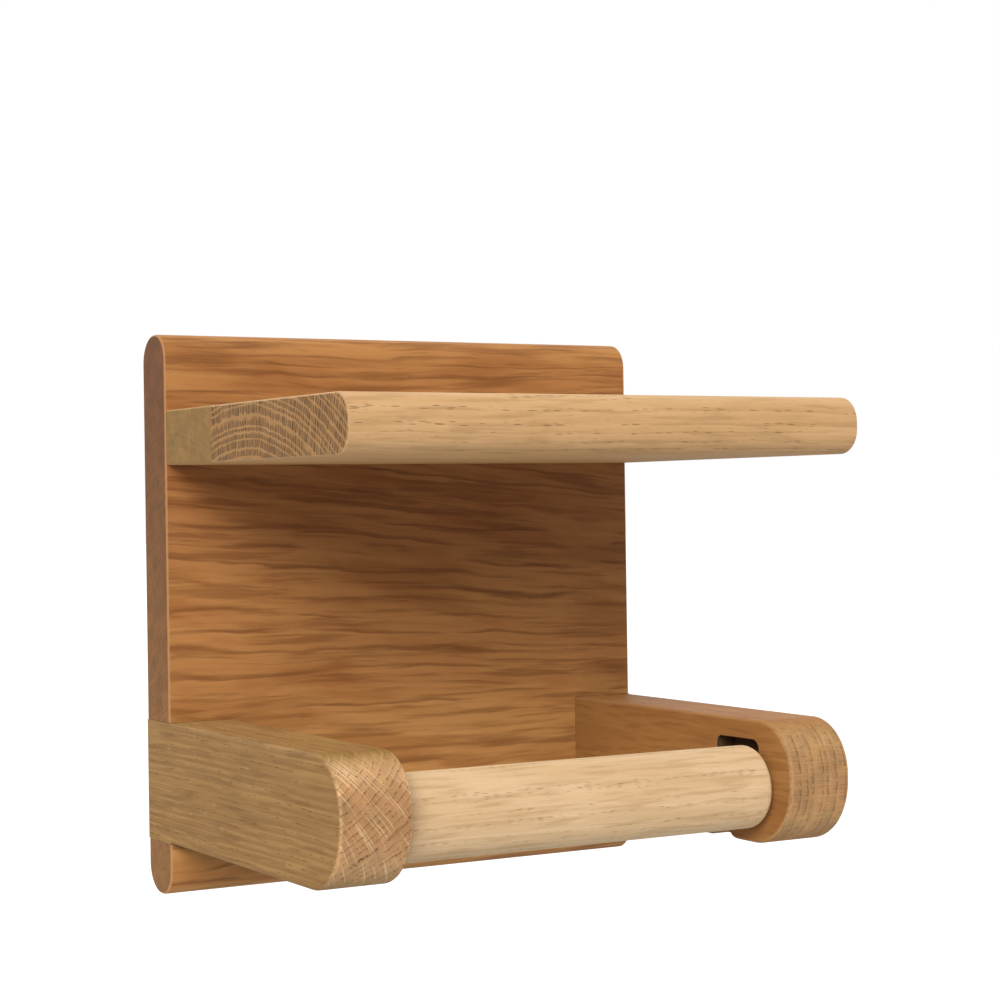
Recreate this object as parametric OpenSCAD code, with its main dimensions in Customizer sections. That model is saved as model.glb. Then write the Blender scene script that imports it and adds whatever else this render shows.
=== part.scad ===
// Wall-hung oak toilet roll holder: back board, shelf, two arms and a lift-out roller.
// X runs along the board, Y into the wall and Z up.
// The origin is on the wall face, at the middle of the board's width and height.

/* [Back board] */
// Width of the back board
board_w = 170; // [150:1:200]
// Height of the back board
board_h = 175; // [165:1:210]
// Thickness of the back board
board_t = 18; // [18:1:22]
// Radius of the front long edges
front_round = 8; // [3:0.5:8]
// Radius of the rear long edges
back_round = 9; // [3:0.5:9]

/* [Shelf] */
// Inset of the shelf's ends from the board's ends
shelf_inset = 0.5; // [0:0.5:6]
// Depth of the rear stave
rear_stave_d = 36; // [34:1:60]
// Depth of the front stave
front_stave_d = 92; // [60:1:110]
// Thickness of the shelf
shelf_t = 17; // [16:1:20]
// Height of the shelf's underside above the board's lower edge
shelf_z = 134; // [126:1:136]
// Radius of the shelf's nose, above and below
nose_r = 7.5; // [2:0.5:7.5]

/* [Arms] */
// Thickness of an arm
arm_t = 22; // [18:1:26]
// Height of an arm
arm_h = 37.5; // [36:0.5:44]
// Length of an arm in front of the board
arm_reach = 121; // [110:1:140]
// Height of the arms' lower edge above the board's lower edge
arm_z = 16.5; // [10:0.5:24]
// Radius of an arm's upper front corner
arm_top_r = 16; // [4:0.5:16]
// Radius of an arm's lower front corner
arm_bottom_r = 19.5; // [4:0.5:19.5]

/* [Roller] */
// Diameter of the roller
roller_d = 25; // [20:1:30]
// Radius of the roller's end edges
roller_edge_r = 3; // [1:0.5:4]
// Gap between a roller end and its arm
roller_gap = 0.8; // [0.5:0.1:2]
// Diameter of the axle rod
axle_d = 6; // [5:0.5:8]
// Chamfer on the axle rod's ends
axle_chamfer = 0.6; // [0.2:0.1:1]
// Gap round the axle, in the roller and in the slots
axle_gap = 0.1; // [0.05:0.01:0.1]
// Gap between an axle end and the floor of its slot
axle_end_gap = 0.4; // [0.3:0.1:1]

/* [Slots in the arms] */
// Distance from an arm's front end back to the seated axle
seat_back = 19; // [18:0.5:30]
// Lift that frees the axle from its seat
slot_lift = 11; // [10:0.5:14]
// Distance between the seat and the entry leg
slot_run = 16; // [12:0.5:24]
// Depth of a slot
slot_depth = 7; // [5:0.5:10]
// Wood left above a slot
slot_roof = 6; // [4:0.5:9]
// Radius that flares a slot's mouth
mouth_r = 4.5; // [1:0.5:4.5]

/* [Hangers] */
// Distance between the two keyholes
hanger_span = 84; // [70:1:92]
// Drop from the board's top edge to the hanging points
hanger_drop = 31; // [30:1:50]
// Length of a hanger plate
plate_l = 44; // [42:1:50]
// Width of a hanger plate
plate_w = 16; // [14:0.5:18]
// Thickness of a hanger plate
plate_t = 2; // [1.5:0.25:3]
// Diameter of a keyhole's wide end, which a wall screw's head passes
key_head_d = 9.5; // [8:0.5:11]
// Width of a keyhole's slot, which a wall screw's shank fits
key_slot_w = 5; // [4:0.5:6]
// Rise from the wide end to the hanging point
key_rise = 8; // [6:0.5:9]
// Depth of the pocket behind a keyhole, for a wall screw's head
pocket_depth = 9; // [6:0.5:10]

/* [Fixings] */
// Shank diameter of a shelf screw
shelf_screw_d = 4.5; // [3.5:0.5:6]
// Length of a shelf screw
shelf_screw_l = 50; // [40:1:52]
// Distance from a shelf's end to its outer screw
shelf_screw_inset = 18.5; // [14:0.5:22]
// Shank diameter of a hanger screw
plate_screw_d = 3; // [2.5:0.25:3.5]
// Length of a hanger screw
plate_screw_l = 12; // [10:1:14]
// Diameter of an arm dowel
dowel_d = 8; // [6:1:10]
// Length of an arm dowel
dowel_l = 30; // [24:1:32]
// Distance between an arm's two dowels
dowel_step = 18; // [14:1:20]

/* [Hidden] */
$fn = 64;
oak = [0.78, 0.56, 0.34];
oak_end = [0.66, 0.48, 0.32];
oak_pale = [0.88, 0.72, 0.50];
steel = [0.72, 0.72, 0.70];
// How far a cut runs past the face that it opens
over = 1;
// A countersunk head's width, in shanks
head_share = 2;
// A screw's taper to its point, in shanks
point_share = 1.6;
// Length, width and depth of a head's cross recess, in shanks
cross_length_share = 1.2;
cross_width_share = 0.3;
cross_depth_share = 0.4;
// Width of the pocket for a wall screw's head, in wide ends of the keyhole
pocket_share = 1.2;

// Heights and depths of the fixed pieces
board_low = -board_h / 2;
board_top = board_h / 2;
arm_low = board_low + arm_z;
arm_top = arm_low + arm_h;
arm_front = -board_t - arm_reach;
arm_in = board_w / 2 - arm_t;
shelf_w = board_w - 2 * shelf_inset;
shelf_screw_step = shelf_w / 2 - shelf_screw_inset;
shelf_low = board_low + shelf_z;
shelf_top = shelf_low + shelf_t;
stave_joint_y = -board_t - rear_stave_d;
shelf_front = stave_joint_y - front_stave_d;

// The axle's seat and its way out
axle_r = axle_d / 2;
slot_r = axle_r + axle_gap;
seat_y = arm_front + seat_back;
entry_y = seat_y + slot_run;
run_z = arm_top - slot_roof - slot_r;
seat_z = run_z - slot_lift;
roller_l = 2 * (arm_in - roller_gap);
axle_l = 2 * (arm_in + slot_depth - axle_end_gap);

// The keyholes and their plates
hang_z = board_top - hanger_drop;
key_z = hang_z - key_rise;
key_low = key_z - key_head_d / 2;
key_top = hang_z + key_slot_w / 2;
plate_z = (key_low + key_top) / 2;
plate_arc_z = (plate_l - plate_w) / 2;
pocket_w = pocket_share * key_head_d;

// An outline in Y and Z, carried along X from one place to another
module along_x(from, to) {
    translate([from, 0, 0])
        rotate([90, 0, 90])
            linear_extrude(height = to - from)
                children();
}

// What rounding takes off a corner; to_y and to_z point into the piece
module corner_waste(y, z, r, to_y, to_z) {
    translate([y, z])
        mirror([to_y < 0 ? 1 : 0, 0])
            mirror([0, to_z < 0 ? 1 : 0])
                difference() {
                    translate([-over, -over])
                        square(r + over);
                    translate([r, r])
                        circle(r);
                }
}

// A length of round-ended slot in X and Z, cut from the wall side to a depth
module upright_slot(low_z, high_z, width, from, to) {
    translate([0, to, 0])
        rotate([90, 0, 0])
            linear_extrude(height = to - from) {
                translate([0, low_z])
                    circle(d = width);
                translate([-width / 2, low_z])
                    square([width, high_z - low_z]);
                translate([0, high_z])
                    circle(d = width);
            }
}

// A countersunk screw's outline turned about Z, its head's face at zero
module screw_form(d, length) {
    head_r = head_share * d / 2;
    rotate_extrude()
        polygon([[0, 0], [head_r, 0], [d / 2, head_r - d / 2],
                 [d / 2, length - point_share * d], [0, length]]);
}

// A countersunk wood screw with a cross recess
module screw(d, length) {
    color(steel)
        difference() {
            screw_form(d, length);
            for (turn = [0, 90])
                rotate([0, 0, turn])
                    translate([-cross_length_share * d / 2, -cross_width_share * d / 2, -over])
                        cube([cross_length_share * d, cross_width_share * d, cross_depth_share * d + over]);
        }
}

// The hole that a screw fills, open at its head
module screw_hole(d, length) {
    screw_form(d, length);
    translate([0, 0, -over])
        cylinder(d = head_share * d, h = over);
}

// Children driven in from the wall face at the shelf's three screws
module at_shelf_screws() {
    for (place = [-1, 0, 1])
        translate([place * shelf_screw_step, 0, (shelf_low + shelf_top) / 2])
            rotate([90, 0, 0])
                children();
}

// Children driven in from the wall face at a plate's two screws
module at_plate_screws() {
    for (end = [-1, 1])
        translate([0, 0, plate_z + end * plate_arc_z])
            rotate([90, 0, 0])
                children();
}

// The two dowels that tie one arm to the board, half in each
module dowels(side) {
    for (end = [-1, 1])
        translate([side * arm_in, -board_t / 2, (arm_low + arm_top + end * dowel_step) / 2])
            rotate([0, 90, 0])
                cylinder(d = dowel_d, h = dowel_l, center = true);
}

// The pocket for a hanger: the plate's bed and the room behind its keyhole
module hanger_pocket() {
    upright_slot(plate_z - plate_arc_z, plate_z + plate_arc_z, plate_w, -plate_t, over);
    upright_slot(key_z, hang_z, pocket_w, -pocket_depth, over);
    at_plate_screws()
        screw_hole(plate_screw_d, plate_screw_l);
}

module back_board() {
    color(oak)
        difference() {
            along_x(-board_w / 2, board_w / 2)
                difference() {
                    translate([-board_t, board_low])
                        square([board_t, board_h]);
                    corner_waste(-board_t, board_low, front_round, 1, 1);
                    corner_waste(-board_t, board_top, front_round, 1, -1);
                    corner_waste(0, board_low, back_round, -1, 1);
                    corner_waste(0, board_top, back_round, -1, -1);
                }
            for (side = [-1, 1]) {
                translate([side > 0 ? arm_in : -board_w / 2 - over, -board_t - over, arm_low])
                    cube([arm_t + over, board_t + 2 * over, arm_h]);
                dowels(side);
                translate([side * hanger_span / 2, 0, 0])
                    hanger_pocket();
            }
            at_shelf_screws()
                screw_hole(shelf_screw_d, shelf_screw_l);
        }
}

module shelf_rear_stave() {
    color(oak_end)
        difference() {
            translate([-shelf_w / 2, stave_joint_y, shelf_low])
                cube([shelf_w, rear_stave_d, shelf_t]);
            at_shelf_screws()
                screw_hole(shelf_screw_d, shelf_screw_l);
        }
}

module shelf_front_stave() {
    color(oak)
        along_x(-shelf_w / 2, shelf_w / 2)
            difference() {
                translate([shelf_front, shelf_low])
                    square([front_stave_d, shelf_t]);
                corner_waste(shelf_front, shelf_low, nose_r, 1, 1);
                corner_waste(shelf_front, shelf_top, nose_r, 1, -1);
            }
}

// The axle's way through an arm: in from below, up, forward and down to its seat
module slot_path() {
    translate([seat_y, seat_z])
        circle(slot_r);
    translate([seat_y - slot_r, seat_z])
        square([2 * slot_r, slot_lift]);
    translate([seat_y, run_z])
        circle(slot_r);
    translate([seat_y, run_z - slot_r])
        square([slot_run, 2 * slot_r]);
    translate([entry_y, run_z])
        circle(slot_r);
    translate([entry_y - slot_r, arm_low - over])
        square([2 * slot_r, run_z - arm_low + over]);
    difference() {
        translate([entry_y - slot_r - mouth_r, arm_low - over])
            square([2 * (slot_r + mouth_r), mouth_r + over]);
        for (side = [-1, 1])
            translate([entry_y + side * (slot_r + mouth_r), arm_low + mouth_r])
                circle(mouth_r);
    }
}

// An arm on the right, with its slot in the inner face
module arm() {
    color(oak)
        difference() {
            along_x(arm_in, board_w / 2)
                difference() {
                    translate([arm_front, arm_low])
                        square([-arm_front, arm_h]);
                    corner_waste(arm_front, arm_low, arm_bottom_r, 1, 1);
                    corner_waste(arm_front, arm_top, arm_top_r, 1, -1);
                }
            along_x(arm_in - over, arm_in + slot_depth)
                slot_path();
            dowels(1);
        }
}

module left_arm() {
    mirror([1, 0, 0])
        arm();
}

module right_arm() {
    arm();
}

// The roller, bored for its axle, with rounded end edges
module roller() {
    color(oak_pale)
        translate([0, seat_y, seat_z])
            rotate([0, 90, 0])
                rotate_extrude()
                    difference() {
                        translate([slot_r, -roller_l / 2])
                            square([roller_d / 2 - slot_r, roller_l]);
                        corner_waste(roller_d / 2, -roller_l / 2, roller_edge_r, -1, 1);
                        corner_waste(roller_d / 2, roller_l / 2, roller_edge_r, -1, -1);
                    }
}

// The axle rod, chamfered at its ends
module roller_axle() {
    color(steel)
        translate([0, seat_y, seat_z])
            rotate([0, 90, 0])
                rotate_extrude()
                    polygon([[0, -axle_l / 2], [axle_r - axle_chamfer, -axle_l / 2],
                             [axle_r, axle_chamfer - axle_l / 2], [axle_r, axle_l / 2 - axle_chamfer],
                             [axle_r - axle_chamfer, axle_l / 2], [0, axle_l / 2]]);
}

module arm_dowels() {
    color(oak_pale)
        for (side = [-1, 1])
            dowels(side);
}

module shelf_screws() {
    at_shelf_screws()
        screw(shelf_screw_d, shelf_screw_l);
}

// A plate with its keyhole, wide end down, and its two countersunk holes
module hanger() {
    color(steel)
        difference() {
            upright_slot(plate_z - plate_arc_z, plate_z + plate_arc_z, plate_w, -plate_t, 0);
            upright_slot(key_z, hang_z, key_slot_w, -plate_t - over, over);
            translate([0, over, key_z])
                rotate([90, 0, 0])
                    cylinder(d = key_head_d, h = plate_t + 2 * over);
            at_plate_screws()
                screw_hole(plate_screw_d, plate_screw_l);
        }
}

module left_hanger() {
    translate([-hanger_span / 2, 0, 0])
        hanger();
}

module right_hanger() {
    translate([hanger_span / 2, 0, 0])
        hanger();
}

module hanger_screws() {
    for (side = [-1, 1])
        translate([side * hanger_span / 2, 0, 0])
            at_plate_screws()
                screw(plate_screw_d, plate_screw_l);
}

back_board();
shelf_rear_stave();
shelf_front_stave();
left_arm();
right_arm();
roller();
roller_axle();
arm_dowels();
shelf_screws();
left_hanger();
right_hanger();
hanger_screws();
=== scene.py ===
import bpy
from math import radians, pi
from mathutils import Matrix, Vector


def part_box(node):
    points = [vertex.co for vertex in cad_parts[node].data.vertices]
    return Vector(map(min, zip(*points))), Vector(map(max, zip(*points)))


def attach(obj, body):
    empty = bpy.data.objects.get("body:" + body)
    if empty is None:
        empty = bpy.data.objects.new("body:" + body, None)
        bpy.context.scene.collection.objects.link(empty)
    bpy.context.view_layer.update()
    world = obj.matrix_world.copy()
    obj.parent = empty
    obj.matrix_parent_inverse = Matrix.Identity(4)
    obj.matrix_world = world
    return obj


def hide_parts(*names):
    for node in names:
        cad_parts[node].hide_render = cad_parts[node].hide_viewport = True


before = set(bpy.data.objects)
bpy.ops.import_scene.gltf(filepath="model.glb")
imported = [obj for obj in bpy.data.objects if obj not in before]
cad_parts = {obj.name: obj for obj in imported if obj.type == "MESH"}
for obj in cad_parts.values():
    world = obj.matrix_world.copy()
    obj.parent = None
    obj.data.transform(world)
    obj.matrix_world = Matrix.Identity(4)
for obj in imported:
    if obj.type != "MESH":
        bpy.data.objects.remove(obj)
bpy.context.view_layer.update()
mm = 0.001
overcut = 1 * mm                        # how far a cutter stands out of the face that it opens
pickRoom = 0.1 * mm                     # how far past a limit a picked point may lie
roundSides = 64
holeSides = 32                          # for narrow holes
coneSides = 48
smoothAngle = 32                        # degrees; steeper edges stay sharp


# selecting and shaping helpers

def deselectAll():
    bpy.ops.object.select_all(action='DESELECT')


def makeActive(piece):
    deselectAll()
    piece.select_set(True)
    bpy.context.view_layer.objects.active = piece


def applyPlace(piece):
    makeActive(piece)
    bpy.ops.object.transform_apply(location=True, rotation=True, scale=True)
    return piece


def addBlock(name, low, high):
    # a cube at its size and place
    low, high = Vector(low), Vector(high)
    deselectAll()
    bpy.ops.mesh.primitive_cube_add(size=1, location=(low + high) / 2, scale=high - low)
    block = bpy.context.object
    block.name = name
    return applyPlace(block)


def addRound(name, centre, radius, depth, axis, sides=roundSides):
    # a cylinder about X, Y or Z
    turns = {"X": (0, pi / 2, 0), "Y": (pi / 2, 0, 0), "Z": (0, 0, 0)}
    deselectAll()
    bpy.ops.mesh.primitive_cylinder_add(vertices=sides, radius=radius, depth=depth,
                                        location=centre, rotation=turns[axis])
    bar = bpy.context.object
    bar.name = name
    return applyPlace(bar)


def near(value, target, slack=0.02 * mm):
    return abs(value - target) < slack


def at(**place):
    # a test for points that lie at these coordinates
    return lambda co: all(near(getattr(co, axis), value) for axis, value in place.items())


def pick(piece, mode, test, skip):
    # selects vertices, edges or faces whose vertices all pass the test, less those that all pass skip
    bpy.context.tool_settings.mesh_select_mode = (mode == "vertex", mode == "edge", mode == "face")
    mesh = piece.data
    wanted = [test(v.co) for v in mesh.vertices]
    left = [skip is not None and skip(v.co) for v in mesh.vertices]

    def chosen(corners):
        return all(wanted[i] for i in corners) and not all(left[i] for i in corners)

    for vertex in mesh.vertices:
        vertex.select = mode == "vertex" and chosen([vertex.index])
    for edge in mesh.edges:
        edge.select = mode == "edge" and chosen(edge.vertices)
    for face in mesh.polygons:
        face.select = mode == "face" and chosen(face.vertices)


def shape(piece, mode, test, *steps, skip=None):
    # picks in object mode, then runs each step in edit mode
    makeActive(piece)
    pick(piece, mode, test, skip)
    bpy.ops.object.mode_set(mode='EDIT')
    for step in steps:
        step()
    bpy.ops.object.mode_set(mode='OBJECT')


def rounding(width, segments):
    return lambda: bpy.ops.mesh.bevel(offset=width, offset_type='OFFSET', segments=segments,
                                      profile=0.5, affect='EDGES')


def addRoundEnded(name, start, end, radius, depth, axis):
    # a cylinder about an axis, whose half is moved along to make a round-ended bar
    start, end = Vector(start), Vector(end)
    run = end - start
    bar = addRound(name, start, radius, depth, axis)
    if run.length > 0:
        shape(bar, "vertex", lambda co: (co - start).dot(run) > 0,
              lambda: bpy.ops.transform.translate(value=run))
    return bar


def carve(piece, *cutters):
    # cuts the cutters out of the piece and removes them
    for cutter in cutters:
        makeActive(piece)
        cut = piece.modifiers.new("cut", 'BOOLEAN')
        cut.operation = 'DIFFERENCE'
        cut.solver = 'EXACT'
        cut.object = cutter
        bpy.ops.object.modifier_apply(modifier=cut.name)
        bpy.data.objects.remove(cutter)


def copyOf(piece, name):
    # a copy with its own mesh
    makeActive(piece)
    bpy.ops.object.duplicate()
    twin = bpy.context.object
    twin.name = name
    return twin


def settle(piece, body, *nodes, slot, material):
    # smooth shading, weighted normals, finish and the body that it moves with
    makeActive(piece)
    bpy.ops.object.mode_set(mode='EDIT')
    bpy.ops.mesh.select_all(action='SELECT')
    bpy.ops.mesh.remove_doubles(threshold=0.002 * mm)
    bpy.ops.mesh.normals_make_consistent(inside=False)
    bpy.ops.object.mode_set(mode='OBJECT')
    bpy.ops.object.shade_smooth_by_angle(angle=radians(smoothAngle))
    weigh = piece.modifiers.new("weigh", 'WEIGHTED_NORMAL')
    weigh.keep_sharp = True
    bpy.ops.object.modifier_apply(modifier=weigh.name)
    piece.data.materials.clear()
    piece.data.materials.append(material)
    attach(piece, body)
    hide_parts(*nodes)


# node helpers

def addNode(tree, kind, values=None, **settings):
    node = tree.nodes.new(kind)
    for name, value in settings.items():
        setattr(node, name, value)
    for name, value in (values or {}).items():
        if isinstance(value, bpy.types.NodeSocket):
            tree.links.new(value, node.inputs[name])
        else:
            node.inputs[name].default_value = value
    return node


def calc(tree, operation, a, b=None):
    values = {0: a} if b is None else {0: a, 1: b}
    return addNode(tree, 'ShaderNodeMath', values, operation=operation).outputs[0]


def plus(tree, a, b):
    return calc(tree, 'ADD', a, b)


def minus(tree, a, b):
    return calc(tree, 'SUBTRACT', a, b)


def times(tree, a, b):
    return calc(tree, 'MULTIPLY', a, b)


def below(tree, a, b):
    return calc(tree, 'LESS_THAN', a, b)


def raised(tree, share, least, more):
    # so much at least, and that much more where the share is full
    return plus(tree, times(tree, share, more), least)


def vectorCalc(tree, operation, a, b):
    return addNode(tree, 'ShaderNodeVectorMath', {0: a, 1: b}, operation=operation).outputs[0]


def axesOf(tree, vector):
    return addNode(tree, 'ShaderNodeSeparateXYZ', {"Vector": vector}).outputs


def joined(tree, **axes):
    return addNode(tree, 'ShaderNodeCombineXYZ', axes).outputs[0]


def ease(tree, value, low, high, start=0.0, stop=1.0):
    return addNode(tree, 'ShaderNodeMapRange', {"Value": value, "From Min": low, "From Max": high,
                                                "To Min": start, "To Max": stop},
                   interpolation_type='SMOOTHSTEP').outputs[0]


def hump(tree, value, look, kind):
    # full between where it rises and where it falls
    return times(tree, ease(tree, value, *look[kind + "Rise"]), ease(tree, value, *look[kind + "Fall"]))


def noise(tree, vector, stretch, detail=2.0, roughness=0.5):
    # noise at so many cells for each metre along and across the grain
    return addNode(tree, 'ShaderNodeTexNoise',
                   {"Vector": vectorCalc(tree, 'MULTIPLY', vector, stretch), "Scale": 1.0,
                    "Detail": detail, "Roughness": roughness}).outputs


def patches(tree, vector, look, kind, detail=1.0, roughness=0.5, least=0.0):
    # a mask from noise, by the look's size and edge of that kind
    found = noise(tree, vector, look[kind + "Size"], detail, roughness)[0]
    return ease(tree, found, *look[kind + "Edge"], least)


def cells(tree, vector, stretch):
    return addNode(tree, 'ShaderNodeTexVoronoi',
                   {"Vector": vectorCalc(tree, 'MULTIPLY', vector, stretch), "Scale": 1.0}).outputs


def centred(tree, colour):
    # a noise colour moved to lie about nothing
    return vectorCalc(tree, 'SUBTRACT', colour, (0.5, 0.5, 0.5))


def blend(tree, share, under, over, mode='MIX'):
    # RGBA sockets of the mix node: 0 is the share, 6 and 7 are the colours
    return addNode(tree, 'ShaderNodeMix', {0: share, 6: under, 7: over},
                   data_type='RGBA', blend_type=mode).outputs[2]


def layer(tree, under, mask, show, over):
    return blend(tree, times(tree, mask, show), under, over)


def tinted(tree, tone, tint):
    return blend(tree, 1.0, tone, tint, 'MULTIPLY')


def newMaterial(name):
    material = bpy.data.materials.new(name)
    material.use_nodes = True
    material.node_tree.nodes.clear()
    return material, material.node_tree


def finishMaterial(tree, colour, roughness, height, bump, values):
    strength, depth = bump
    relief = addNode(tree, 'ShaderNodeBump', {"Height": height, "Strength": strength, "Distance": depth})
    shader = addNode(tree, 'ShaderNodeBsdfPrincipled',
                     {"Base Color": colour, "Roughness": roughness, "Normal": relief.outputs[0], **values})
    addNode(tree, 'ShaderNodeOutputMaterial', {"Surface": shader.outputs[0]})


# What all the oak has in common; each board's own look changes some of it.
# A Size is cells for each metre, along and across the grain. An Edge is where a mask starts and
# where it is full, and a Rise and a Fall are the two edges of a hump. A Show is how much of a
# mask's colour is laid on. A pair for the early wood is the least, and how much more there.
oakCommon = {
    # how the piece was sawn from the tree
    "grain": (1, 0, 0),                 # direction of the grain
    "heart": (0, 0.10, -0.20),          # a point on the tree's heart line, metres
    "lean": (0, 0, 0),                  # the heart line's turn from its grain, degrees
    "flat": 1.0,                        # below one, the rings run flatter than circles
    "away": 0.2,                        # about how far the heart line is from the piece
    "rayDepth": 0.0,                    # how far behind the heart line the rays meet
    "taper": 0.0,                       # how fast the grain lines close up along the board, for each metre
    "taperRow": 0.0,                    # the height above the heart line at which they run straight
    "taperEnd": 0.0,                    # the height above which they run straight again
    "taperFade": 30 * mm,               # and how far below it they start to

    # the yearly rings
    "ringWidth": 3.0 * mm,
    "ringSpread": (0.45, 1.2),          # how often their width changes, and how far
    "warp": 2.0 * mm,                   # how far the rings wander
    "warpSize": (8, 26, 26),
    "fray": 0.35,                       # how ragged they are, in years
    "fraySize": (14, 420, 420),
    "earlyRise": (0.0, 0.1),            # the early wood's share of each year
    "earlyFall": (0.4, 0.12),

    # colours
    "light": (0.62, 0.40, 0.20, 1),
    "dark": (0.40, 0.22, 0.09, 1),
    "flame": (0.50, 0.26, 0.10, 1),
    "pore": (0.14, 0.065, 0.025, 1),
    "ray": (0.70, 0.50, 0.30, 1),
    "endDark": (0.30, 0.16, 0.075, 1),
    "endLight": (0.54, 0.35, 0.18, 1),
    "endRay": (0.66, 0.47, 0.28, 1),
    "endPore": (0.17, 0.08, 0.035, 1),

    # long grain
    "flameShow": 0.4,                   # wide darker clouds
    "flameSize": (24, 130, 130),
    "flameEdge": (0.42, 0.66),
    "flameLean": 0.0,                   # how far a flame climbs for each length along the grain
    "ringShow": 0.3,                    # a soft band in each year
    "ringRise": (0.1, 0.55),
    "ringFall": (1.0, 0.7),
    "ringSize": (16, 90, 90),
    "ringEdge": (0.3, 0.6),
    "ringEven": 0.3,                    # the least that a faded band keeps
    "lineShow": 0.4,                    # a thin dark line in each year's early wood
    "lineSize": (40, 260, 260),
    "lineEdge": (0.42, 0.58),
    "streakShow": 0.45,
    "streakSize": (50, 620, 620),
    "streakEdge": (0.46, 0.68),
    "rayShow": 0.12,
    "raySize": (55, 330, 8),
    "rayEdge": (0.13, 0.04),
    "poreShow": 0.6,
    "poreSize": (240, 2500, 2500),
    "poreEdge": (-0.08, 0.1),
    "poreWidth": (0.16, 0.22),
    "poreCrowd": (0.16, 0.32),

    # end grain
    "combShow": 0.4,                    # dark dashes between the rays
    "combPitch": 0.9 * mm,
    "combEdge": (0.04, 0.2),
    "combSway": 3.0,                    # how far the dashes sway, in dashes
    "combSwaySize": (40, 260, 80),
    "combFadeSize": (60, 900, 260),
    "combFadeEdge": (0.36, 0.6),
    "combEven": 0.3,                    # the least that a faded dash keeps
    "bandShare": 0.6,                   # how much of a year the dark band takes
    "bandVary": 0.5,
    "bandVarySize": (16, 150, 150),
    "arcShow": 0.85,                    # the pale arc between two dark bands
    "arcEdge": (0.0, 0.2),
    "endLineShow": 0.0,                 # a soft dark line in each year
    "endLineSize": (20, 380, 380),
    "endLineEdge": (0.35, 0.6),
    "endRayShow": 0.55,
    "endRaySize": (2400, 60, 1),        # round the heart line and away from it
    "endRayEdge": (0.6, 0.7),
    "endPoreShow": 0.6,
    "endPoreSize": (30, 1000, 1000),
    "endPoreEdge": (-0.08, 0.08),
    "endPoreWidth": (0.2, 0.2),
    "endPoreCrowd": (0.25, 0.7),
    "endPatch": 0.3,                    # how blotchy it is
    "endPatchSize": (12, 170, 170),
    "endPatchHue": (0.1, 0.0, 0.3),

    # where a face is end grain, and the slow changes of tone over the piece, which are painted light and
    # shade
    "endEdge": (0.25, 0.8),             # how square to the grain it is
    "endHead": (1, 1, 1, 1),            # painted shade and light on the end grain: its tint at the board's top and at its foot
    "endFoot": (1, 1, 1, 1),
    "sideFoot": (1, 1, 1, 1),           # the long grain's tint below this height: painted light, paler and yellower at the foot
    "sideFootEdge": (-36 * mm, -24 * mm),
    "sideShade": (1, 1, 1, 1),          # and between these heights, where the shelf keeps the light off
    "shadeRise": (3 * mm, 26 * mm),
    "shadeFall": (62 * mm, 50 * mm),
    "noseTint": (1, 1, 1, 1),           # painted highlight where a rounded front end turns to long grain
    "noseRise": (0.1, 0.4),
    "noseFall": (1.0, 0.75),
    "noseEnd": 0.0,                     # and how far back, on the Y axis
    "arris": (0.70, 0.46, 0.25, 1),     # painted highlight on the edges to the left and right
    "arrisShow": 0.25,
    "arrisRise": (0.15, 0.5),
    "arrisFall": (0.98, 0.8),
    "scorch": None,                     # middle and half size of a box that is darker inside: painted shade in a recess
    "scorchTone": (0.05, 0.028, 0.014, 1),
    "scorchShow": 0.85,

    # surface
    "fibreSize": (90, 3600, 3600),
    "fibreTone": (0.24, 0.4),           # at least, and how much more on the ends
    "fibreRise": 0.35,
    "poreSink": 0.8,
    "earlySink": 0.15,
    "bump": (0.3, 0.1 * mm),            # strength and depth
    "roughness": 0.56,
    "fibreRough": 0.14,
    "poreRough": 0.25,
    "chalk": 0.9,                       # how evenly the bare fibres spread the light
    "sheen": 0.2,
}


def yearlyRings(tree, place, look):
    # a space with X along the grain and its origin on the heart line
    turn = [radians(angle) for angle in look["lean"]]
    if look["grain"][1]:
        turn[2] += pi / 2
    wood = addNode(tree, 'ShaderNodeMapping',
                   {"Vector": place, "Location": look["heart"], "Rotation": turn},
                   vector_type='TEXTURE').outputs[0]

    # in it the rings wander, and close up along the board
    drift = centred(tree, noise(tree, wood, look["warpSize"], 4, 0.55)["Color"])
    drift = vectorCalc(tree, 'MULTIPLY', drift, (0, 2 * look["warp"], 2 * look["warp"]))
    straight = axesOf(tree, wood)
    closing = times(tree, times(tree, straight["X"], look["taper"]),
                    minus(tree, straight["Z"], look["taperRow"]))
    fadeFrom = look["taperEnd"] - look["taperFade"]
    closing = times(tree, closing, ease(tree, straight["Z"], fadeFrom, look["taperEnd"], 1.0, 0.0))
    bent = vectorCalc(tree, 'ADD', vectorCalc(tree, 'ADD', wood, drift), joined(tree, Z=closing))

    # years run out from the heart line, and a season is a place within its year
    axes = axesOf(tree, bent)
    across = times(tree, axes["Y"], look["flat"])
    radius = calc(tree, 'SQRT', plus(tree, times(tree, across, across),
                                     times(tree, axes["Z"], axes["Z"])))
    years = calc(tree, 'DIVIDE', radius, look["ringWidth"])
    often, far = look["ringSpread"]
    spread = addNode(tree, 'ShaderNodeTexNoise', {"W": times(tree, years, often), "Scale": 1.0},
                     noise_dimensions='1D').outputs[0]
    years = plus(tree, years, times(tree, spread, far))
    fray = times(tree, noise(tree, wood, look["fraySize"], 1.0)[0], look["fray"])
    season = calc(tree, 'FRACT', plus(tree, years, fray))

    # rays are thin sheets that fan out from the heart line
    fan = calc(tree, 'ARCTAN2', plus(tree, axes["Z"], look["rayDepth"]), axes["Y"])
    fan = times(tree, fan, look["away"])
    return {"wood": wood, "bent": bent, "along": axes["X"], "radius": radius, "season": season,
            "early": hump(tree, season, look, "early"),
            "fan": fan, "rays": joined(tree, X=axes["X"], Y=fan, Z=radius)}


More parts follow.
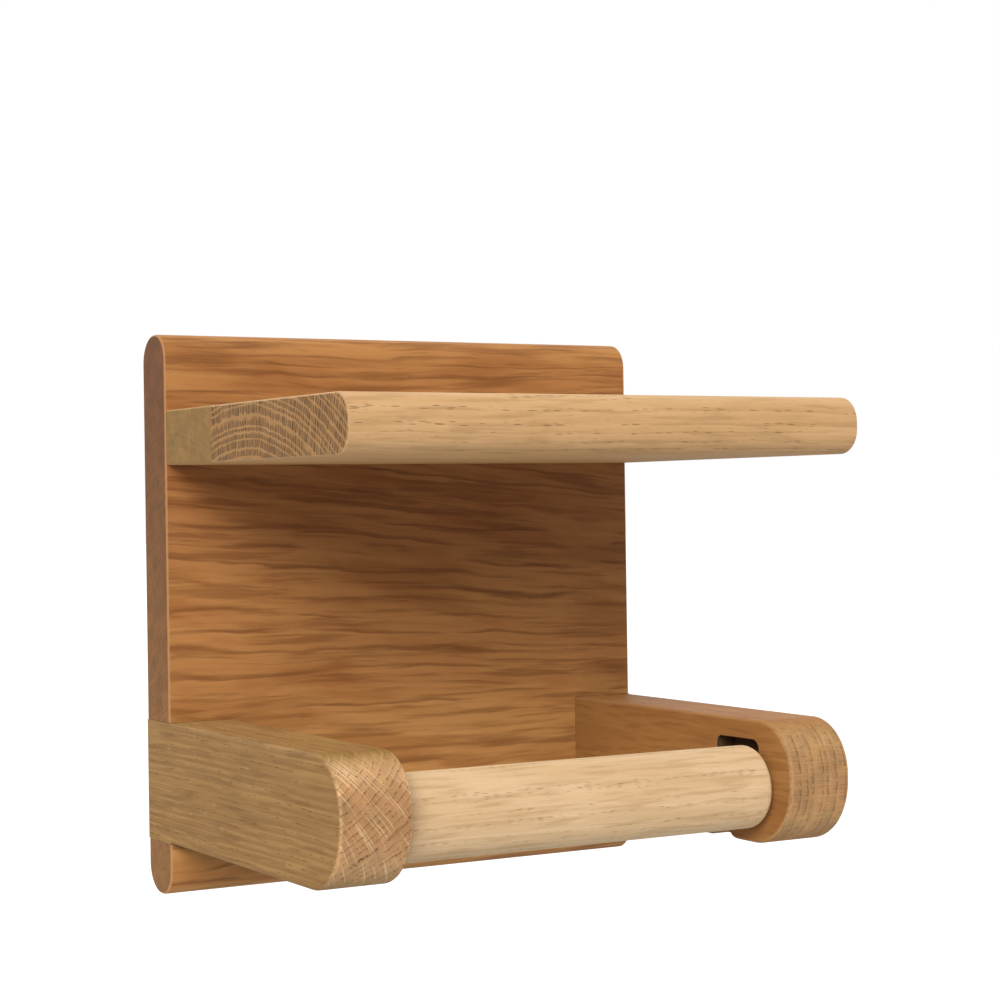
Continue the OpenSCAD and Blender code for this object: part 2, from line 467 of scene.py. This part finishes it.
def openPores(tree, rings, look, kind):
    # cells, of which some are open: wider and more of them in the early wood
    found = cells(tree, rings["bent"], look[kind + "Size"])
    width = raised(tree, rings["early"], *look[kind + "Width"])
    pores = ease(tree, minus(tree, width, found["Distance"]), *look[kind + "Edge"])
    draw = addNode(tree, 'ShaderNodeSeparateColor', {"Color": found["Color"]}).outputs[0]
    crowd = raised(tree, rings["early"], *look[kind + "Crowd"])
    return times(tree, pores, below(tree, draw, crowd))


def longGrain(tree, rings, look):
    # colour of the sides, from wide to fine
    bent = rings["bent"]
    climb = joined(tree, Z=times(tree, rings["along"], look["flameLean"]))
    flames = patches(tree, vectorCalc(tree, 'ADD', bent, climb), look, "flame", 2.5)
    bands = times(tree, hump(tree, rings["season"], look, "ring"),
                  patches(tree, rings["wood"], look, "ring", least=look["ringEven"]))
    lines = times(tree, rings["early"], patches(tree, bent, look, "line"))
    streaks = patches(tree, bent, look, "streak", 3, 0.55)
    rays = ease(tree, cells(tree, rings["rays"], look["raySize"])["Distance"], *look["rayEdge"])
    tone = layer(tree, look["light"], flames, look["flameShow"], look["flame"])
    tone = layer(tree, tone, bands, look["ringShow"], look["flame"])
    tone = layer(tree, tone, lines, look["lineShow"], look["dark"])
    tone = layer(tree, tone, streaks, look["streakShow"], look["dark"])
    return layer(tree, tone, rays, look["rayShow"], look["ray"])


def endGrain(tree, rings, look):
    # ring bands combed by fine rays, a few longer rays, dark pore dots and a blotchy tone
    wood, bent, rays = rings["wood"], rings["bent"], rings["rays"]
    sway = times(tree, noise(tree, rays, look["combSwaySize"], 1.0)[0], look["combSway"])
    comb = plus(tree, calc(tree, 'DIVIDE', rings["fan"], look["combPitch"]), sway)
    comb = times(tree, ease(tree, calc(tree, 'PINGPONG', comb, 0.5), *look["combEdge"]),
                 patches(tree, rays, look, "combFade", least=look["combEven"]))
    share = times(tree, noise(tree, wood, look["bandVarySize"], 1.0)[0], look["bandVary"])
    share = plus(tree, share, look["bandShare"] - look["bandVary"] / 2)
    arcs = ease(tree, minus(tree, rings["season"], share), *look["arcEdge"])
    lines = times(tree, rings["early"], patches(tree, bent, look, "endLine"))
    longRays = patches(tree, joined(tree, X=rings["fan"], Y=rings["radius"]), look, "endRay", 0.0)
    dots = openPores(tree, rings, look, "endPore")
    tone = layer(tree, look["endLight"], comb, look["combShow"], look["endDark"])
    tone = layer(tree, tone, arcs, look["arcShow"], look["endLight"])
    tone = layer(tree, tone, lines, look["endLineShow"], look["endPore"])
    tone = layer(tree, tone, longRays, look["endRayShow"], look["endRay"])
    tone = layer(tree, tone, dots, look["endPoreShow"], look["endPore"])
    patch = noise(tree, wood, look["endPatchSize"], 2.0)
    hue = vectorCalc(tree, 'MULTIPLY', centred(tree, patch["Color"]), look["endPatchHue"])
    blotch = times(tree, minus(tree, patch["Fac"], 0.5), 2 * look["endPatch"])
    hue = vectorCalc(tree, 'ADD', hue, joined(tree, X=blotch, Y=blotch, Z=blotch))
    return tinted(tree, tone, vectorCalc(tree, 'ADD', hue, (1, 1, 1)))


def scorched(tree, tone, place, look):
    # painted shade: darker inside the look's box
    middle, half = look["scorch"]
    offset = vectorCalc(tree, 'SUBTRACT', place, middle)
    offset = addNode(tree, 'ShaderNodeVectorMath', {0: offset}, operation='ABSOLUTE').outputs[0]
    offset = axesOf(tree, offset)
    inside = 1.0
    for letter, size in zip("XYZ", half):
        inside = times(tree, inside, below(tree, offset[letter], size))
    return layer(tree, tone, inside, look["scorchShow"], look["scorchTone"])


def oakMaterial(name, **changes):
    look = {**oakCommon, **changes}
    material, tree = newMaterial(name)
    place = addNode(tree, 'ShaderNodeTexCoord').outputs
    rings = yearlyRings(tree, place["Object"], look)
    fibre = noise(tree, rings["bent"], look["fibreSize"], 3, 0.6)[0]
    spot = axesOf(tree, place["Object"])
    facing = addNode(tree, 'ShaderNodeVectorMath', {0: place["Normal"], 1: look["grain"]},
                     operation='DOT_PRODUCT').outputs["Value"]
    slope = calc(tree, 'ABSOLUTE', facing)
    endShare = ease(tree, slope, *look["endEdge"])

    # sides and ends, each with its tint of painted light and shade, and both together
    tint = blend(tree, ease(tree, spot["Z"], boardLow[2], boardHigh[2]), look["endFoot"], look["endHead"])
    endTone = tinted(tree, endGrain(tree, rings, look), tint)
    tint = blend(tree, ease(tree, spot["Z"], *look["sideFootEdge"]), look["sideFoot"], (1, 1, 1, 1))
    tint = blend(tree, hump(tree, spot["Z"], look, "shade"), tint, look["sideShade"])
    sideTone = tinted(tree, longGrain(tree, rings, look), tint)
    sidePores = times(tree, openPores(tree, rings, look, "pore"), minus(tree, 1.0, endShare))
    sideTone = layer(tree, sideTone, sidePores, look["poreShow"], look["pore"])
    tone = blend(tree, endShare, sideTone, endTone)

    # painted highlights on rounded front ends and arrises, and the finest fibres
    turning = times(tree, hump(tree, slope, look, "nose"), below(tree, spot["Y"], look["noseEnd"]))
    tone = blend(tree, turning, tone, look["noseTint"], 'MULTIPLY')
    sideways = calc(tree, 'ABSOLUTE', axesOf(tree, place["Normal"])["X"])
    tone = layer(tree, tone, hump(tree, sideways, look, "arris"), look["arrisShow"], look["arris"])
    fine = times(tree, minus(tree, fibre, 0.5), raised(tree, endShare, *look["fibreTone"]))
    fine = plus(tree, fine, 1.0)
    tone = tinted(tree, tone, joined(tree, X=fine, Y=fine, Z=fine))
    # painted shade inside the box
    if look["scorch"]:
        tone = scorched(tree, tone, place["Object"], look)

    # the surface: fibres stand, pores and early wood sink
    height = minus(tree, times(tree, fibre, look["fibreRise"]), times(tree, sidePores, look["poreSink"]))
    height = minus(tree, height, times(tree, rings["early"], look["earlySink"]))
    rough = raised(tree, fibre, look["roughness"] - look["fibreRough"] / 2, look["fibreRough"])
    rough = plus(tree, rough, times(tree, sidePores, look["poreRough"]))
    finishMaterial(tree, tone, rough, height, look["bump"],
                   {"Specular IOR Level": look["sheen"], "Diffuse Roughness": look["chalk"]})
    return material


steelCommon = {
    "cloudSize": (160, 160, 160),
    "cloudEdge": (0.35, 0.7),
    "cloudTone": 0.8,                   # how dark a cloud makes the steel
    "cloudRough": 0.2,
    "bump": (0.25, 0.03 * mm),          # strength and depth
}


def steelMaterial(name, colour, roughness, grain):
    # plated or drawn steel: fine lines along the grain and a faint cloud
    look = steelCommon
    material, tree = newMaterial(name)
    place = addNode(tree, 'ShaderNodeTexCoord').outputs["Object"]
    lines = noise(tree, place, grain, 3, 0.6)[0]
    cloud = noise(tree, place, look["cloudSize"], 3)[0]
    dull = [c * look["cloudTone"] for c in colour[:3]] + [1]
    tone = blend(tree, ease(tree, cloud, *look["cloudEdge"]), colour, dull)
    rough = raised(tree, cloud, roughness - look["cloudRough"] / 2, look["cloudRough"])
    finishMaterial(tree, tone, rough, lines, look["bump"], {"Metallic": 1.0})
    return material


print("back board")
boardLow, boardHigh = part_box("back_board")
armLow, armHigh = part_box("left_arm")
boardShape = {
    "frontRound": 8 * mm,
    "backRound": 9 * mm,
    "roundSteps": 16,
    "arris": 0.9 * mm,
    "arrisSteps": 4,
    "jointLine": 0.1 * mm,              # how far a notch stands off its arm
}
dowel = {"radius": 4 * mm, "length": 30 * mm, "step": 18 * mm}
shelfScrew = {"radius": 2.25 * mm, "headRadius": 4.5 * mm}
plateScrew = {"radius": 1.5 * mm, "headRadius": 3 * mm}
keyhole = {
    "wideRadius": 4.75 * mm,
    "slotRadius": 2.5 * mm,
    "rise": 8 * mm,
    "pocketRadius": 5.7 * mm,
    "pocketDepth": 9 * mm,
}
wallY = boardHigh[1]
boardFront = boardLow[1]
armMiddleZ = (armLow[2] + armHigh[2]) / 2
armGap = -armHigh[0]                    # from the middle to an arm's inner face

screwLow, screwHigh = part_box("shelf_screws")
shelfScrewX = screwHigh[0] - shelfScrew["headRadius"]
shelfScrewZ = (screwLow[2] + screwHigh[2]) / 2
shelfScrewLength = screwHigh[1] - screwLow[1]
plateLow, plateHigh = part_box("right_hanger")
plateX = (plateLow[0] + plateHigh[0]) / 2
plateY = (plateLow[1] + plateHigh[1]) / 2
plateZ = (plateLow[2] + plateHigh[2]) / 2
plateRadius = (plateHigh[0] - plateLow[0]) / 2
plateArc = (plateHigh[2] - plateLow[2]) / 2 - plateRadius
plateThick = plateHigh[1] - plateLow[1]
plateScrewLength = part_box("hanger_screws")[1][1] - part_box("hanger_screws")[0][1]
wideZ = plateZ - (keyhole["rise"] + keyhole["slotRadius"] - keyhole["wideRadius"]) / 2
hangZ = wideZ + keyhole["rise"]


def screwCutters(x, z, screw, length):
    # a countersunk hole driven in from the wall side
    shank = addRound("shank", (x, wallY - length / 2, z), screw["radius"], length, "Y", holeSides)
    headHeight = screw["headRadius"] - screw["radius"]
    deselectAll()
    bpy.ops.mesh.primitive_cone_add(vertices=coneSides, radius1=screw["headRadius"] + overcut,
                                    radius2=screw["radius"], depth=headHeight + overcut,
                                    location=(x, wallY - (headHeight - overcut) / 2, z),
                                    rotation=(pi / 2, 0, 0))
    return shank, applyPlace(bpy.context.object)


def drillShelfScrews(piece):
    for place in (-1, 0, 1):
        carve(piece, *screwCutters(place * shelfScrewX, shelfScrewZ, shelfScrew, shelfScrewLength))


def drillPlateScrews(piece, x):
    for end in (-1, 1):
        carve(piece, *screwCutters(x, plateZ + end * plateArc, plateScrew, plateScrewLength))


def dowelCutters(side):
    middleY = (boardFront + wallY) / 2
    return [addRound("dowelHole", (side * armGap, middleY, armMiddleZ + end * dowel["step"] / 2),
                     dowel["radius"], dowel["length"], "X", holeSides) for end in (-1, 1)]


def uprightSlot(x, low, high, radius, depth):
    # a round-ended bar on the wall face, so deep and a little proud of it
    y = wallY + (overcut - depth) / 2
    return addRoundEnded("slotCutter", (x, y, low), (x, y, high), radius, depth + overcut, "Y")


backBoard = addBlock("backBoard", boardLow, boardHigh)
for z in (boardLow[2], boardHigh[2]):
    for y, width in ((boardFront, boardShape["frontRound"]), (wallY, boardShape["backRound"])):
        shape(backBoard, "edge", at(y=y, z=z), rounding(width, boardShape["roundSteps"]))
for endX in (boardLow[0], boardHigh[0]):
    shape(backBoard, "edge", at(x=endX), rounding(boardShape["arris"], boardShape["arrisSteps"]))
for side in (-1, 1):
    gap = boardShape["jointLine"]
    notchX = sorted((side * (boardHigh[0] + overcut), side * (armGap - gap)))
    carve(backBoard,
          addBlock("notch", (notchX[0], boardFront - overcut, armLow[2] - gap),
                   (notchX[1], wallY + overcut, armHigh[2] + gap)),
          *dowelCutters(side),
          uprightSlot(side * plateX, plateZ - plateArc, plateZ + plateArc,
                      plateRadius + gap / 2, plateThick),
          uprightSlot(side * plateX, wideZ, hangZ, keyhole["pocketRadius"], keyhole["pocketDepth"]))
    drillPlateScrews(backBoard, side * plateX)
drillShelfScrews(backBoard)
# the board's tints are painted light and shade: end grain darker at the top and paler at the foot, long
# grain paler at the foot and shadowed under the shelf, end arrises highlighted
boardOak = oakMaterial(
    "boardOak", heart=(0, 0.34, -0.20), ringWidth=3.0 * mm, warp=5.0 * mm,
    taper=1.2, taperRow=0.16, taperEnd=0.272,
    light=(0.537, 0.254, 0.080, 1), dark=(0.212, 0.071, 0.017, 1), flame=(0.362, 0.131, 0.033, 1),
    sideFoot=(1.06, 1.13, 1.14, 1), sideShade=(0.84, 0.78, 0.78, 1),
    flameShow=0.6, flameLean=0.06, ringShow=0.2, lineShow=0.58, lineSize=(20, 240, 240),
    streakShow=0.52, streakSize=(22, 520, 520), poreShow=0.12, rayShow=0.04,
    endDark=(0.133, 0.055, 0.020, 1), endLight=(0.234, 0.106, 0.041, 1),
    endRay=(0.257, 0.115, 0.047, 1), endPoreShow=0.1,
    endHead=(0.70, 0.62, 0.52, 1), endFoot=(1.17, 1.25, 1.18, 1),
    arris=(0.60, 0.32, 0.14, 1), arrisShow=0.7)
settle(backBoard, "frame", "back_board", slot="oak_board", material=boardOak)

print("shelf")
shelfShape = {"nose": 7.5 * mm, "noseSteps": 16, "arris": 0.8 * mm, "arrisSteps": 4}
shelfArris = rounding(shelfShape["arris"], shelfShape["arrisSteps"])
rearLow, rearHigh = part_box("shelf_rear_stave")
rearStave = addBlock("shelfRearStave", rearLow, rearHigh)
for endX in (rearLow[0], rearHigh[0]):
    for z in (rearLow[2], rearHigh[2]):
        shape(rearStave, "edge", at(x=endX, z=z), shelfArris)
drillShelfScrews(rearStave)
rearShelfOak = oakMaterial(
    "rearShelfOak", heart=(0, -0.02, -0.03), away=0.09, ringWidth=2.6 * mm,
    light=(0.60, 0.36, 0.15, 1), dark=(0.42, 0.24, 0.09, 1),
    endDark=(0.192, 0.109, 0.032, 1), endLight=(0.276, 0.156, 0.049, 1),
    endRay=(0.336, 0.198, 0.068, 1), endRayShow=0.3, combShow=0.55, endPoreShow=0.05)
settle(rearStave, "frame", "shelf_rear_stave", slot="oak_shelf", material=rearShelfOak)

noseLow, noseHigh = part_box("shelf_front_stave")
frontStave = addBlock("shelfFrontStave", noseLow, noseHigh)
for z in (noseLow[2], noseHigh[2]):
    shape(frontStave, "edge", at(y=noseLow[1], z=z), rounding(shelfShape["nose"], shelfShape["noseSteps"]))
for endX in (noseLow[0], noseHigh[0]):
    shape(frontStave, "edge", at(x=endX), shelfArris, skip=at(y=noseHigh[1]))
# its arrises carry a painted highlight
frontShelfOak = oakMaterial(
    "frontShelfOak", heart=(0, -0.078, -0.012), flat=0.85, away=0.2, rayDepth=0.13,
    ringWidth=2.3 * mm, warp=2.2 * mm,
    light=(0.64, 0.405, 0.20, 1), dark=(0.40, 0.23, 0.095, 1), flame=(0.54, 0.32, 0.14, 1),
    endDark=(0.098, 0.045, 0.014, 1), endLight=(0.390, 0.208, 0.077, 1),
    endRay=(0.44, 0.265, 0.118, 1), endRayShow=0.45,
    combShow=0.95, combPitch=1.15 * mm, combEven=0.75, bandShare=0.58,
    endPoreShow=0.2, endPatch=0.2, arrisShow=0.5)
settle(frontStave, "frame", "shelf_front_stave", slot="oak_shelf", material=frontShelfOak)

print("arms")
armShape = {
    "topRound": 16 * mm,
    "bottomRound": 19.5 * mm,
    "roundSteps": 24,
    "arris": 1.3 * mm,
    "arrisSteps": 5,
}
axleSlot = {
    "radius": 3.1 * mm,
    "depth": 7 * mm,
    "lift": 11 * mm,
    "run": 16 * mm,
    "mouthRound": 4.5 * mm,
    "darkRoom": 0.2 * mm,               # how far past its walls the slot's painted shade reaches
    "darkInset": 0.3 * mm,              # from the arm's inner face
    "darkFoot": 1 * mm,                 # from the arm's underside
}
rollerLow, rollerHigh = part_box("roller")
axisY = (rollerLow[1] + rollerHigh[1]) / 2
axisZ = (rollerLow[2] + rollerHigh[2]) / 2


def slotCutters():
    # the left end of the axle's way: up from the seat, back along the run and out at the mouth
    radius = axleSlot["radius"]
    lip = axleSlot["mouthRound"]
    depth = axleSlot["depth"] + overcut
    x = -armGap - (axleSlot["depth"] - overcut) / 2
    entryY = axisY + axleSlot["run"]
    runZ = axisZ + axleSlot["lift"]
    reach = radius + lip
    mouth = addBlock("mouth", (x - depth / 2, entryY - reach, armLow[2] - overcut),
                     (x + depth / 2, entryY + reach, armLow[2] + lip))
    carve(mouth, *[addRound("lip", (x, entryY + end * reach, armLow[2] + lip),
                            lip, 2 * depth, "X") for end in (-1, 1)])
    seat, bend, corner = (x, axisY, axisZ), (x, axisY, runZ), (x, entryY, runZ)
    return (addRoundEnded("seat", seat, bend, radius, depth, "X"),
            addRoundEnded("run", bend, corner, radius, depth, "X"),
            addRoundEnded("entry", corner, (x, entryY, armLow[2] - radius), radius, depth, "X"),
            mouth)


def slotInside(side):
    # middle and half size of the box that holds the slot's walls, where shade is painted on
    reach = axleSlot["radius"] + axleSlot["darkRoom"]
    half = (axleSlot["depth"] / 2, axleSlot["run"] / 2 + reach,
            (axisZ + axleSlot["lift"] + reach - armLow[2]) / 2)
    middle = (side * (armGap + half[0] + axleSlot["darkInset"]), axisY + axleSlot["run"] / 2,
              armLow[2] + half[2] + axleSlot["darkFoot"])
    return middle, half


leftArm = addBlock("leftArm", armLow, armHigh)
for z, width in ((armHigh[2], armShape["topRound"]), (armLow[2], armShape["bottomRound"])):
    shape(leftArm, "edge", at(y=armLow[1], z=z), rounding(width, armShape["roundSteps"]))
# the arris runs out just before the board
easeEnd = boardFront - armShape["arris"]
makeActive(leftArm)
bpy.ops.object.mode_set(mode='EDIT')
bpy.ops.mesh.select_all(action='SELECT')
bpy.ops.mesh.bisect(plane_co=(0, easeEnd, 0), plane_no=(0, 1, 0))
bpy.ops.object.mode_set(mode='OBJECT')
for faceX in (armLow[0], armHigh[0]):
    shape(leftArm, "edge", lambda co: near(co.x, faceX) and co.y < easeEnd + pickRoom,
          rounding(armShape["arris"], armShape["arrisSteps"]), skip=at(y=easeEnd))
    shape(leftArm, "edge", lambda co: near(co.x, faceX) and co.y > easeEnd - pickRoom,
          lambda: bpy.ops.mesh.mark_sharp())
carve(leftArm, *slotCutters(), *dowelCutters(-1))
rightArm = copyOf(leftArm, "rightArm")
bpy.ops.transform.resize(value=(-1, 1, 1), center_override=(0, 0, 0))
applyPlace(rightArm)
noseEnd = armLow[1] + armShape["bottomRound"]
# painted highlight on the rounded front end and arrises, painted shade inside the slot
leftArmOak = oakMaterial(
    "leftArmOak", grain=(0, 1, 0), heart=(-0.16, 0, 0.06), away=0.14, lean=(2.5, 0, 0),
    ringWidth=2.0 * mm,
    light=(0.372, 0.212, 0.075, 1), dark=(0.162, 0.079, 0.025, 1), flame=(0.250, 0.130, 0.042, 1),
    ringShow=0.75, lineShow=0.45,
    endDark=(0.225, 0.106, 0.040, 1), endLight=(0.462, 0.256, 0.112, 1),
    endRay=(0.693, 0.477, 0.278, 1), endRayShow=0.6, combShow=0.2, combPitch=1.2 * mm,
    endPoreShow=0.85, endLineShow=0.45,
    noseTint=(1.32, 1.42, 1.52, 1), noseEnd=noseEnd, arrisShow=0.08, scorch=slotInside(-1))
# painted highlight on the rounded front end and arrises, painted shade inside the slot
rightArmOak = oakMaterial(
    "rightArmOak", grain=(0, 1, 0), heart=(0.30, 0, -0.05), away=0.23, ringWidth=2.8 * mm,
    light=(0.401, 0.187, 0.056, 1), dark=(0.207, 0.079, 0.021, 1), flame=(0.288, 0.114, 0.030, 1),
    ringShow=0.4, poreShow=0.2,
    endDark=(0.226, 0.104, 0.043, 1), endLight=(0.451, 0.252, 0.109, 1),
    endRay=(0.545, 0.351, 0.171, 1), endRayShow=0.3, combShow=0.35, combPitch=1.3 * mm,
    endPoreShow=0.5, endLineShow=0.5,
    noseTint=(1.14, 1.22, 1.22, 1), noseEnd=noseEnd, arrisShow=0.15, scorch=slotInside(1))
settle(leftArm, "frame", "left_arm", slot="oak_arm", material=leftArmOak)
settle(rightArm, "frame", "right_arm", slot="oak_arm", material=rightArmOak)

print("roller")
rollerShape = {"edgeRound": 3 * mm, "edgeSteps": 10, "boreRadius": 3.1 * mm, "sides": 96}
rollerLength = rollerHigh[0] - rollerLow[0]
rollerRadius = (rollerHigh[2] - rollerLow[2]) / 2
capRadius = rollerRadius - rollerShape["edgeRound"]


def onCap(co):
    return near(abs(co.x), rollerHigh[0])


def atBore(co):
    # the bore's edge on either cap
    out = Vector((co.y - axisY, co.z - axisZ)).length
    return onCap(co) and out < rollerShape["boreRadius"] + pickRoom


roller = addRound("roller", (0, axisY, axisZ), rollerRadius, rollerLength, "X", rollerShape["sides"])
for endX in (rollerLow[0], rollerHigh[0]):
    shape(roller, "edge", at(x=endX), rounding(rollerShape["edgeRound"], rollerShape["edgeSteps"]))
shape(roller, "face", onCap,
      lambda: bpy.ops.mesh.inset(thickness=capRadius - rollerShape["boreRadius"], depth=0))
shape(roller, "face", atBore, lambda: bpy.ops.mesh.delete(type='ONLY_FACE'))
shape(roller, "edge", atBore, lambda: bpy.ops.mesh.bridge_edge_loops())
rollerOak = oakMaterial(
    "rollerOak", heart=(0, -0.2, 0.06), ringWidth=3.5 * mm,
    light=(0.730, 0.531, 0.321, 1), dark=(0.499, 0.322, 0.153, 1), flame=(0.614, 0.409, 0.209, 1),
    ray=(0.8, 0.6, 0.38, 1), pore=(0.36, 0.20, 0.08, 1),
    ringShow=0.35, lineShow=0.3, streakShow=0.55, rayShow=0.3,
    poreShow=0.7, poreSize=(300, 3400, 3400))
settle(roller, "roller", "roller", slot="oak_roller", material=rollerOak)

print("hangers and fixings")
platedSteel = steelMaterial("platedSteel", (0.62, 0.61, 0.57, 1), 0.34, (900, 900, 250))
screwSteel = steelMaterial("screwSteel", (0.66, 0.62, 0.52, 1), 0.3, (1200, 200, 1200))
axleSteel = steelMaterial("axleSteel", (0.55, 0.55, 0.54, 1), 0.28, (80, 2600, 2600))
dowelBeech = oakMaterial("dowelBeech", heart=(0, 0.1, 0), away=0.1, light=(0.72, 0.54, 0.35, 1),
                         lineShow=0.1, poreShow=0.2)
rightHanger = addRoundEnded("rightHanger", (plateX, plateY, plateZ - plateArc),
                            (plateX, plateY, plateZ + plateArc), plateRadius, plateThick, "Y")
carve(rightHanger, uprightSlot(plateX, wideZ, hangZ, keyhole["slotRadius"], plateThick + overcut),
      uprightSlot(plateX, wideZ, wideZ, keyhole["wideRadius"], plateThick + overcut))
drillPlateScrews(rightHanger, plateX)
leftHanger = copyOf(rightHanger, "leftHanger")
bpy.ops.transform.translate(value=(-2 * plateX, 0, 0))
applyPlace(leftHanger)
settle(leftHanger, "frame", "left_hanger", slot="hanger_steel", material=platedSteel)
settle(rightHanger, "frame", "right_hanger", slot="hanger_steel", material=platedSteel)
for node, finish in (("shelf_screws", screwSteel), ("hanger_screws", screwSteel),
                     ("roller_axle", axleSteel), ("arm_dowels", dowelBeech)):
    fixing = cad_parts[node]
    fixing.data.materials.clear()
    fixing.data.materials.append(finish)

print("floor, light and camera")
stageSetup = {
    "floorDrop": 0.42,                  # below the board, out of the camera's view
    "floorSize": 60,
    "floorColour": (0.8, 0.8, 0.8, 1),
    "floorLift": 0.9,                   # what the camera sees on top of the floor's own light
    "fill": (1.0, 0.995, 0.98, 1),
    "fillStrength": 0.37,
}
softboxes = {
    # name: place, aimed at, width and height, watts, colour
    "keyLight": ((-1.0, -1.49, 0.97), (0, -0.06, 0.0), (1.5, 0.95), 35, (1.0, 0.985, 0.96)),
}
cameraSetup = {
    "place": (-0.3467, -0.6820, 0.0338),
    "yaw": 29.858,                      # degrees round from +Y towards +X
    "pitch": 0.031,
    "roll": -0.835,
    "lens": 82.04,
}

deselectAll()
bpy.ops.mesh.primitive_plane_add(size=stageSetup["floorSize"],
                                 location=(0, 0, boardLow[2] - stageSetup["floorDrop"]))
floor = bpy.context.object
floor.name = "floor"
floorPaint, tree = newMaterial("floorPaint")
matt = addNode(tree, 'ShaderNodeBsdfDiffuse', {"Color": stageSetup["floorColour"]})
rays = addNode(tree, 'ShaderNodeLightPath').outputs
glow = addNode(tree, 'ShaderNodeEmission',
               {"Strength": times(tree, rays["Is Camera Ray"], stageSetup["floorLift"])})
both = addNode(tree, 'ShaderNodeAddShader', {0: matt.outputs[0], 1: glow.outputs[0]})
addNode(tree, 'ShaderNodeOutputMaterial', {"Surface": both.outputs[0]})
floor.data.materials.append(floorPaint)

# the camera and reflections see white; all else gets the fill
room = bpy.data.worlds.new("room")
bpy.context.scene.world = room
room.use_nodes = True
tree = room.node_tree
tree.nodes.clear()
rays = addNode(tree, 'ShaderNodeLightPath').outputs
seen = calc(tree, 'MAXIMUM', rays["Is Camera Ray"],
            calc(tree, 'MAXIMUM', rays["Is Glossy Ray"], rays["Is Transmission Ray"]))
fill = addNode(tree, 'ShaderNodeBackground',
               {"Color": stageSetup["fill"], "Strength": stageSetup["fillStrength"]})
white = addNode(tree, 'ShaderNodeBackground', {"Color": (1, 1, 1, 1), "Strength": 1.0})
sky = addNode(tree, 'ShaderNodeMixShader', {0: seen, 1: fill.outputs[0], 2: white.outputs[0]})
addNode(tree, 'ShaderNodeOutputWorld', {"Surface": sky.outputs[0]})

for name, (place, target, size, watts, colour) in softboxes.items():
    deselectAll()
    bpy.ops.object.light_add(type='AREA', location=place)
    lamp = bpy.context.object
    lamp.name = name
    lamp.rotation_euler = (Vector(target) - Vector(place)).to_track_quat('-Z', 'Y').to_euler()
    lamp.data.shape = 'RECTANGLE'
    lamp.data.size, lamp.data.size_y = size
    lamp.data.energy = watts
    lamp.data.color = colour

bpy.ops.object.camera_add()
camera = bpy.context.object
camera.name = "photoCamera"
camera.data.lens = cameraSetup["lens"]
camera.matrix_world = (Matrix.Translation(cameraSetup["place"]) @
                       Matrix.Rotation(radians(-cameraSetup["yaw"]), 4, 'Z') @
                       Matrix.Rotation(radians(90 + cameraSetup["pitch"]), 4, 'X') @
                       Matrix.Rotation(radians(cameraSetup["roll"]), 4, 'Z'))
bpy.context.scene.camera = camera
bpy.context.scene.view_settings.view_transform = 'Standard'

print("done")
